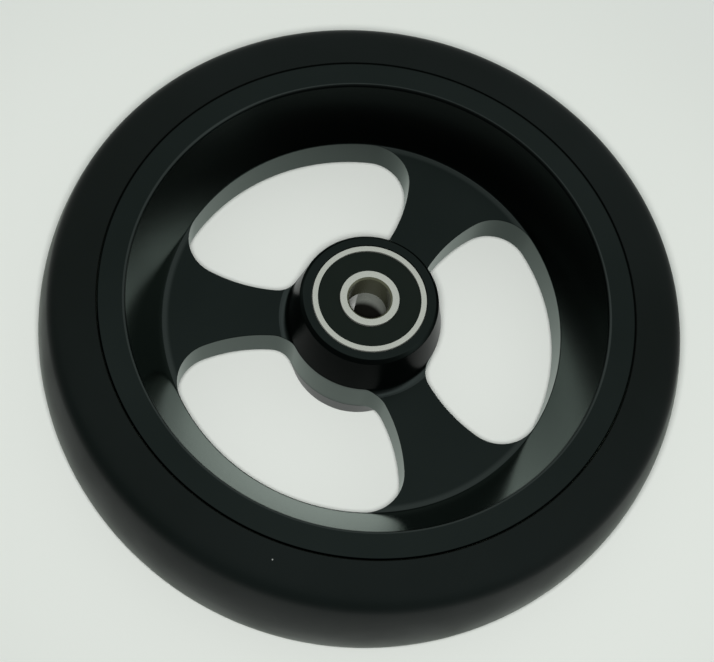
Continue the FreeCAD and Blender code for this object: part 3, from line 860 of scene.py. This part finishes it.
# %% [markdown]
# ## The window tool
# A tool of that shape cuts the windows out. It widens at the web's faces, so it leaves a small rounded
# edge, as a deburring pass does. A bevel after the cut could round the edge too, but it breaks up easily
# where the edge runs along a fillet. Along the hub the window's wall runs straight up into the hub's
# flank, so there the tool stays plain. Its points are reckoned, because the flare follows the fillets.

# %% Shape the window tool
EDGE_ROUND, QUARTER_STEPS = 0.12, 6
TOOL_SPREAD, TOOL_LIFT, TOOL_RISE = 1.15, 0.02, 6.0
WINDOW_ANGLES = (30, 150, 270)
DISH_SLOPE = math.atan2(RIM_HALF - WEB_HALF, FLANGE_RADIUS - DISH_RADIUS)
HUB_SLOPE = math.atan2(HUB_HALF - HUB_CHAMFER - WEB_HALF, HUB_FOOT - HUB_RADIUS)
DISH_FILLET_START = DISH_RADIUS - DISH_FILLET * math.tan(DISH_SLOPE / 2)
HUB_FILLET_END = HUB_FOOT + HUB_FILLET * math.tan(HUB_SLOPE / 2)


def web_height(radius):
    """Height of the web's face, which rises into the fillets at the hub and along the sloping wall."""
    into_dish, into_hub = max(0.0, radius - DISH_FILLET_START), max(0.0, HUB_FILLET_END - radius)
    return (WEB_HALF + DISH_FILLET - math.sqrt(DISH_FILLET ** 2 - into_dish ** 2)
            + HUB_FILLET - math.sqrt(HUB_FILLET ** 2 - into_hub ** 2))


def window_tool(angle):
    """A cutter through the web, flared in a quarter round at both of its faces except along the hub."""
    turns = [math.radians(90 * step / QUARTER_STEPS) for step in range(QUARTER_STEPS + 1)]
    levels = [(EDGE_ROUND * (1 - math.cos(a)), EDGE_ROUND * (math.sin(a) - 1)) for a in turns]
    levels += [(EDGE_ROUND * TOOL_SPREAD, TOOL_LIFT), (EDGE_ROUND * TOOL_SPREAD, TOOL_RISE)]
    turn = Matrix.Rotation(math.radians(angle), 2)
    line = []
    for point, way in window_line():
        flare = min(1.0, (point.length - WINDOW_INNER) / (HUB_FILLET_END - WINDOW_INNER))
        line.append((point, way * flare))
    rings = []
    for sign in (-1, 1):
        for out, rise in (reversed(levels) if sign < 0 else levels):
            ring = []
            for point, way in line:
                face = web_height((point + way * EDGE_ROUND).length)
                spot = turn @ (point + way * out)
                ring.append((spot.x * MM, spot.y * MM, sign * (face + rise) * MM))
            rings.append(ring)
    count = len(line)
    faces = [list(reversed(range(count))), [(len(rings) - 1) * count + i for i in range(count)]]
    for level in range(len(rings) - 1):
        for i in range(count):
            a, b = level * count + i, level * count + (i + 1) % count
            faces.append([a, b, b + count, a + count])
    shape = bpy.data.meshes.new("window_tool")
    shape.from_pydata([spot for ring in rings for spot in ring], [], faces)
    tool = bpy.data.objects.new("window_tool", shape)
    bpy.context.scene.collection.objects.link(tool)
    return tool


tools = [window_tool(angle) for angle in WINDOW_ANGLES]
print("window tools:", len(tools), "with", len(tools[0].data.vertices), "corners each")

# %% [markdown]
# ## Cutting the windows
# The three tools are joined into one and taken away from the turned blank in a single cut, with a
# Boolean modifier that is applied at once. A Boolean can go wrong without a word, so the volume is
# measured before and after: the windows take a little over a fifth of the blank.

# %% Cut the windows
CUBIC_CM = 1e6


def volume(piece):
    """Volume of a closed mesh in cubic centimetres."""
    shape = bmesh.new()
    shape.from_mesh(piece.data)
    result = shape.calc_volume() * CUBIC_CM
    shape.free()
    return result


print("blank", round(volume(wheel_centre), 2), "cubic centimetres")
bpy.ops.object.select_all(action="DESELECT")
for tool in tools:
    tool.select_set(True)
bpy.context.view_layer.objects.active = tools[0]
bpy.ops.object.join()
cutter = bpy.context.object
bpy.ops.object.mode_set(mode="EDIT")
bpy.ops.mesh.select_all(action="SELECT")
bpy.ops.mesh.normals_make_consistent(inside=False)
bpy.ops.object.mode_set(mode="OBJECT")
bpy.context.view_layer.objects.active = wheel_centre
bpy.ops.object.modifier_add(type="BOOLEAN")
cut = wheel_centre.modifiers[-1]
cut.operation, cut.solver, cut.object = "DIFFERENCE", "EXACT", cutter
bpy.ops.object.modifier_apply(modifier=cut.name)
bpy.data.objects.remove(cutter)
print("with its windows", round(volume(wheel_centre), 2), "cubic centimetres")
dress(wheel_centre, "black_aluminium", "wheel", "wheel_centre")

# %% [markdown]
# ## The bearing rings
# Each end of the hub holds one sealed ball bearing. Both rings are turned and ground steel with a deep
# round groove for the balls; the outer ring also has a narrow groove on each side for its seal. The two
# bearings are alike, so one drawing of each ring is spun at both ends of the hub.

# %% Turn the bearing rings
BEARINGS, BEARING_HALF = (("top", 10.2), ("bottom", -10.2)), 3.5
BORE, INNER_FACE, OUTER_FACE, BEARING_RADIUS = 4.0, 5.65, 9.85, 11.0
INNER_LAND, OUTER_LAND, SEAL_FLOOR = 6.0355, 9.0945, 2.2
SNAP_GROOVE, SNAP_TOP = 10.12, 2.96
# Each ball groove is an arc: how far its centre is from the axle, and half its width at the land
RACE_IN, RACE_OUT = 7.5494, 7.4506
RACE_IN_EDGE, RACE_OUT_EDGE = 1.4028, 1.2479
RIM_LEAN, RIM_DROP = 0.14, 0.45
BORE_CHAMFER, RING_EDGE, LAND_EDGE = 0.37, 0.06, 0.08
OUTER_STEPS, INNER_STEPS = 160, 128

outer_half = outline([
    (OUTER_LAND, 0.0),
    (OUTER_LAND, SEAL_FLOOR, LAND_EDGE), (SNAP_GROOVE, SEAL_FLOOR), (SNAP_GROOVE, SNAP_TOP),
    (OUTER_FACE, SNAP_TOP, RING_EDGE), (OUTER_FACE, BEARING_HALF, RING_EDGE),
    (BEARING_RADIUS - RIM_LEAN, BEARING_HALF, RING_EDGE),
    (BEARING_RADIUS, BEARING_HALF - RIM_DROP, RING_EDGE),
    (BEARING_RADIUS, 0.0),
])[1:-1]
inner_half = outline([
    (INNER_LAND, 0.0),
    (INNER_LAND, SEAL_FLOOR, LAND_EDGE), (INNER_FACE, SEAL_FLOOR), (INNER_FACE, BEARING_HALF, RING_EDGE),
    (BORE + BORE_CHAMFER, BEARING_HALF, RING_EDGE), (BORE, BEARING_HALF - BORE_CHAMFER, RING_EDGE),
    (BORE, 0.0),
])[1:-1]


def ring_line(half, land, race_centre, race_edge):
    """A ring's whole cross-section, closed by the arc of its deep groove."""
    groove = arc((race_centre, 0.0), (land, -race_edge), (land, race_edge))
    return groove + both_sides(half)


outer_line = ring_line(outer_half, OUTER_LAND, RACE_OUT, RACE_OUT_EDGE)
inner_line = ring_line(inner_half, INNER_LAND, RACE_IN, RACE_IN_EDGE)
for name, lift in BEARINGS:
    outer = spin_piece(name + "_outer_ring", outer_line, OUTER_STEPS, lift)
    dress(outer, "bearing_steel", "wheel", name + "_bearing_outer_ring")
    inner = spin_piece(name + "_inner_ring", inner_line, INNER_STEPS, lift)
    dress(inner, "bearing_steel", "axle_set", name + "_bearing_inner_ring")

# %% [markdown]
# ## The seals
# A rubber seal snaps into the outer ring and closes the gap to the inner ring with a thin lip. It sits
# a little below the steel, so a dark line of shadow runs along both of its edges. All four are the
# same moulding, so one cross-section serves for both sides of both bearings.

# %% Mould the seals
SEAL_FACE, SEAL_BACK, LIP_GAP, LIP_WIDTH = 3.2, 2.6, 0.06, 0.6
SNAP_GAP, LIP_LIFT = 0.03, 0.04
SEAL_EDGE, SEAL_OUTER_EDGE, SEAL_INNER_EDGE = 0.1, 0.12, 0.2
SEAL_STEPS = 144

lip_in, lip_out = INNER_FACE + LIP_GAP, INNER_FACE + LIP_GAP + LIP_WIDTH
seal_line = outline([
    (OUTER_LAND + SNAP_GAP, SEAL_FLOOR + SNAP_GAP),
    (SNAP_GROOVE - SNAP_GAP, SEAL_FLOOR + SNAP_GAP, SEAL_EDGE),
    (SNAP_GROOVE - SNAP_GAP, SNAP_TOP - SNAP_GAP, SEAL_EDGE),
    (OUTER_FACE - SNAP_GAP, SNAP_TOP - SNAP_GAP),
    (OUTER_FACE - SNAP_GAP, SEAL_FACE, SEAL_OUTER_EDGE),
    (lip_in, SEAL_FACE, SEAL_INNER_EDGE),
    (lip_in, SEAL_FLOOR + LIP_LIFT, SEAL_EDGE),
    (lip_out, SEAL_FLOOR + LIP_LIFT, SEAL_EDGE),
    (lip_out, SEAL_BACK),
    (OUTER_LAND + SNAP_GAP, SEAL_BACK),
])
for bearing, lift in BEARINGS:
    for side, away in (("outer", 1), ("inner", -1)):
        up = away if bearing == "top" else -away
        line = [(radius, up * height) for radius, height in seal_line]
        seal = spin_piece(bearing + "_" + side + "_seal", line, SEAL_STEPS, lift)
        dress(seal, "seal_rubber", "wheel", bearing + "_bearing_" + side + "_seal")

# %% [markdown]
# ## The spacer sleeve
# A short steel tube between the two inner rings, so that the axle bolt can be pulled tight without
# squeezing the bearings. It is seen only through the bore, as a bright curve below the bearing.

# %% Turn the sleeve
SLEEVE_BORE, SLEEVE_OUTER, SLEEVE_EDGE = 4.2, 5.5, 0.22
SLEEVE_STEPS = 128

sleeve_half = [(SLEEVE_BORE, HUB_HALF - BEARING_WIDTH, SLEEVE_EDGE),
               (SLEEVE_OUTER, HUB_HALF - BEARING_WIDTH, SLEEVE_EDGE)]
sleeve = spin_piece("sleeve_turned", outline(both_sides(sleeve_half)), SLEEVE_STEPS)
dress(sleeve, "sleeve_steel", "axle_set", "spacer_sleeve")

# %% [markdown]
# ## Balls and cages
# The balls and the snap-in cages are closed in between the seals. Their solids are already round and
# complete, so they stay as they are and only get their finishes.

# %% Finish the hidden pieces
for name, node in nodes.items():
    if node.hide_render:
        continue
    finish = "ball_steel" if "_ball_" in name else "cage_nylon"
    node.data.materials.clear()
    node.data.materials.append(FINISHES[finish])
print("kept nodes:", sum(not node.hide_render for node in nodes.values()))

# %% [markdown]
# ## The table's finish
# The table top is a plain pale laminate with the faintest unevenness in its gloss, so that it stays
# quiet behind the wheel and still takes its shadow. Its colour has the picture's slight green cast.
# Further off, where the lamp hardly reaches, the eye and the reflections see an even pale backdrop in
# its place, which runs into the sky with hardly a line. Close by, reflections see about half of it,
# because the lamp leaves the table too dark underneath the wheel. It sheds no light of its own.

# %% Finish the table
TABLE_COLOUR = (0.745, 0.775, 0.735)
BACKDROP_START, BACKDROP_FADE, TABLE_REACH = 0.095, 0.09, 9.0
MIRRORED_SHARE = 0.55
NO_COLOUR = (0.0, 0.0, 0.0)

laminate = Finish("pale_laminate", TABLE_COLOUR, 0.6, specular=0.3)
laminate.rough(patches_per_metre=8.0, low=0.55, high=0.65)
far_off = laminate.effect("band", From=BACKDROP_START, Soft=BACKDROP_FADE, To=TABLE_REACH)


def reckon(operation, one, other):
    """Reckon with two values of the table's finish, the second of which may be a plain number."""
    node = laminate.add("ShaderNodeMath", operation=operation)
    laminate.join(one, node.inputs[0])
    if isinstance(other, float):
        node.inputs[1].default_value = other
    else:
        laminate.join(other, node.inputs[1])
    return node.outputs[0]


ray = laminate.add("ShaderNodeLightPath").outputs
mirrored = reckon("MAXIMUM", ray["Is Glossy Ray"], ray["Is Transmission Ray"])
far_seen = reckon("MULTIPLY", far_off, reckon("MAXIMUM", mirrored, ray["Is Camera Ray"]))
shown = reckon("MAXIMUM", far_seen, reckon("MULTIPLY", mirrored, MIRRORED_SHARE))
laminate.tint(shown, NO_COLOUR)
backdrop = laminate.add("ShaderNodeMix", data_type="RGBA")
backdrop.inputs[MIX_FROM].default_value = (*NO_COLOUR, 1.0)
backdrop.inputs[MIX_TO].default_value = (*(BACKDROP_STRENGTH * tint for tint in SKY_TINT), 1.0)
laminate.join(shown, backdrop.inputs["Factor"])
laminate.join(backdrop.outputs[MIX_RESULT], laminate.shader.inputs["Emission Color"])
laminate.set("Emission Strength", 1.0)
table.data.materials.append(laminate.material)
print("table finished in", TABLE_COLOUR)
